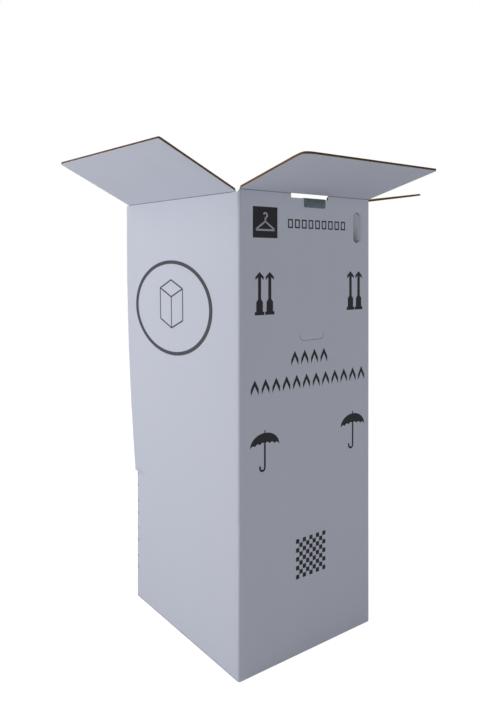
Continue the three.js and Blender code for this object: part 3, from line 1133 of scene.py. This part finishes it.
    def nicks(self) -> Print:
        """Draws the shaded nicks at both ends of each perforation cut below the tear.

        Returns:
            The nicks.
        """
        drawing = Print("perforation_nicks", Wall.LEFT)
        x, top = self.nick_place
        wide, tall = self.nick_size
        for number in range(self.cut_count):
            for end in (0.0, self.cut_length):
                z = top - number * self.cut_pitch - end
                drawing.bar((x - wide / 2, z - tall / 2), (x + wide / 2, z + tall / 2))
        return drawing

    def carton_drawing(self) -> Print:
        """Draws a plain carton in the oval.

        Returns:
            The print.
        """
        x, z = self.oval_centre
        wide, tall, rise, below, stroke = 62.0, 96.0, 26.0, 62.0, 4.5
        base = z - below
        drawing = Print("carton_drawing_print", Wall.LEFT, stand_off=self.over_curve)
        for top in (base, base + tall):
            drawing.line((x - wide, top + rise), (x, top), stroke)
            drawing.line((x, top), (x + wide, top + rise), stroke)
        for side, foot in ((-wide, rise), (0.0, 0.0), (wide, rise)):
            drawing.line((x + side, base + foot), (x + side, base + foot + tall), stroke)
        back = base + tall + 2 * rise
        drawing.line((x - wide, base + tall + rise), (x, back), stroke)
        return drawing.line((x, back), (x + wide, base + tall + rise), stroke)


@dataclass(frozen=True)
class Lamp:
    """A soft rectangular lamp that looks at the box."""

    name: str
    place: tuple[float, float, float]
    aim: tuple[float, float, float]
    size: float
    watts: float

    def build(self) -> None:
        """Makes the lamp."""
        data = bpy.data.lights.new(self.name, "AREA")
        data.shape = "SQUARE"
        data.size = self.size
        data.energy = self.watts
        made = add_object(self.name, data)
        made.location = self.place
        made.rotation_euler = (Vector(self.aim) - Vector(self.place)).to_track_quat("-Z", "Y").to_euler()


@dataclass
class Studio:
    """The pale floor, the background, the lamps and the camera."""

    floor_size: float = 80.0
    floor_colour: str = "e6e7ea"
    floor_glow: float = 0.84
    ambient: str = "f0f2f6"
    ambient_strength: float = 0.24
    camera_place: tuple[float, float, float] = (-1.2905, -1.7535, 1.1357)
    camera_yaw: float = 37.64
    focal_pixels: float = 658.8
    picture: tuple[int, int] = (480, 720)
    principal: tuple[float, float] = (263.57, 263.94)
    sensor: float = 36.0
    lamps: tuple[Lamp, ...] = (
        Lamp("left_window", (-3.4, 0.6, 2.7), (0, 0, 1.3), 2.4, 36.0),
        Lamp("left_low", (-2.8, 0.3, 0.9), (0, 0, 1.6), 1.6, 26.0),
        Lamp("front_fill", (0.8, -3.8, 1.4), (0, 0, 0.9), 2.4, 23.0),
        Lamp("top", (0.3, 0.4, 4.2), (0, 0, 1.3), 2.6, 30.0),
    )

    def build(self) -> None:
        """Sets the stage up."""
        self.build_floor()
        self.build_world()
        self.build_camera()
        for lamp in self.lamps:
            lamp.build()
        bpy.context.scene.view_settings.view_transform = "Standard"

    def seen(self, tree: NodeTree) -> NodeSocket:
        """Adds what tells rays that see the background from those that carry light.

        Args:
            tree: the tree that asks.

        Returns:
            A socket that is above 0 for camera, glossy and transmission rays.
        """
        path = add_node(tree, "ShaderNodeLightPath")
        mirrored = add_node(tree, "ShaderNodeMath", operation="MAXIMUM", links={
            0: path.outputs["Is Glossy Ray"], 1: path.outputs["Is Transmission Ray"]})
        return add_node(tree, "ShaderNodeMath", operation="MAXIMUM", links={
            0: path.outputs["Is Camera Ray"], 1: mirrored.outputs[0]}).outputs[0]

    def build_floor(self) -> None:
        """Makes the floor, which looks white and still keeps the box's shadow."""
        bm = bmesh.new()
        bmesh.ops.create_grid(bm, x_segments=1, y_segments=1, size=self.floor_size / 2)
        mesh = bpy.data.meshes.new("floor")
        bm.to_mesh(mesh)
        bm.free()
        material, tree, shader = new_material("floor_paper", {
            "Base Color": linear(self.floor_colour), "Roughness": 1.0, "Specular IOR Level": 0.0,
            "Emission Color": (1, 1, 1, 1)})
        glow = add_node(tree, "ShaderNodeMath", {1: self.floor_glow}, {0: self.seen(tree)},
                        operation="MULTIPLY")
        tree.links.new(glow.outputs[0], shader.inputs["Emission Strength"])
        mesh.materials.append(material)
        add_object("floor", mesh)

    def build_world(self) -> None:
        """Makes a background that looks white and lights the box evenly."""
        world = bpy.data.worlds.new("studio")
        bpy.context.scene.world = world
        world.use_nodes = True
        tree = world.node_tree
        tree.nodes.clear()
        light = add_node(tree, "ShaderNodeBackground", {
            "Color": linear(self.ambient), "Strength": self.ambient_strength})
        white = add_node(tree, "ShaderNodeBackground", {"Color": (1, 1, 1, 1), "Strength": 1.0})
        mixed = add_node(tree, "ShaderNodeMixShader", links={
            0: self.seen(tree), 1: light.outputs[0], 2: white.outputs[0]})
        add_node(tree, "ShaderNodeOutputWorld", links={"Surface": mixed.outputs[0]})

    def build_camera(self) -> None:
        """Places the camera, which looks level at the front left corner."""
        data = bpy.data.cameras.new("camera")
        width, height = self.picture
        data.sensor_width = self.sensor
        data.lens = self.focal_pixels * self.sensor / height
        data.shift_x = -(self.principal[0] - width / 2) / height
        data.shift_y = (self.principal[1] - height / 2) / height
        camera = add_object("camera", data)
        camera.location = self.camera_place
        camera.rotation_euler = (math.radians(90), 0, math.radians(-self.camera_yaw))
        bpy.context.scene.camera = camera


def main() -> None:
    """Builds the box, its prints and the studio."""
    logging.basicConfig(level=logging.INFO, format="%(message)s")
    Studio().build()
    cut = CutBoard().build()
    steel = GalvanisedSteel().build()
    kraft = {run: Liner(f"kraft_{run.name.lower()}", "b08e68", "a07d58", run).build() for run in FluteRun}
    white = {run: Liner(f"white_{run.name.lower()}", "cccfda", "c6cad6", run).build() for run in FluteRun}
    Carton().build([white[FluteRun.WALLS], kraft[FluteRun.WALLS], cut])
    flaps = [
        Flap("front", 13.1, FluteRun.ALONG_X, dent_side=-1),
        Flap("back", 26.0, FluteRun.ALONG_X),
        Flap("left", 24.7, FluteRun.ALONG_Y),
        Flap("right", 8.0, FluteRun.ALONG_Y),
    ]
    # painted shade: a dark grey liner for the strips along the creases and for the perforation's nicks,
    # where the board lies in shadow
    crease_shade_paint = Liner("painted_crease_shade", "8b8e97", "84878f", FluteRun.WALLS).build()
    slots = {"front": (SLOT_LEFT, SLOT_RIGHT), "back": (-SLOT_RIGHT, -SLOT_LEFT)}
    for flap in flaps:
        flap.build(white[flap.run], kraft[flap.run], cut)
        CreaseShadeStrip(flap, slots.get(flap.side)).build(crease_shade_paint)
    Rail().build(steel)
    frame["nodes"]["bottom_tape"].material_slots[0].material = PackingTape().build()
    body = merged_copy("carton_body")
    surface = BVHTree.FromBMesh(body)
    body.free()
    black = PrintInk("black_ink", "232328", "2c2c31").build()
    grey = PrintInk("grey_ink", "4b4c53", "56575e").build()
    free_paper = PrintInk("free_paper", "a9adb6", "a4a8b1").build()
    Prints().build(black, grey, free_paper, crease_shade_paint, surface)


if __name__ == "__main__":
    main()
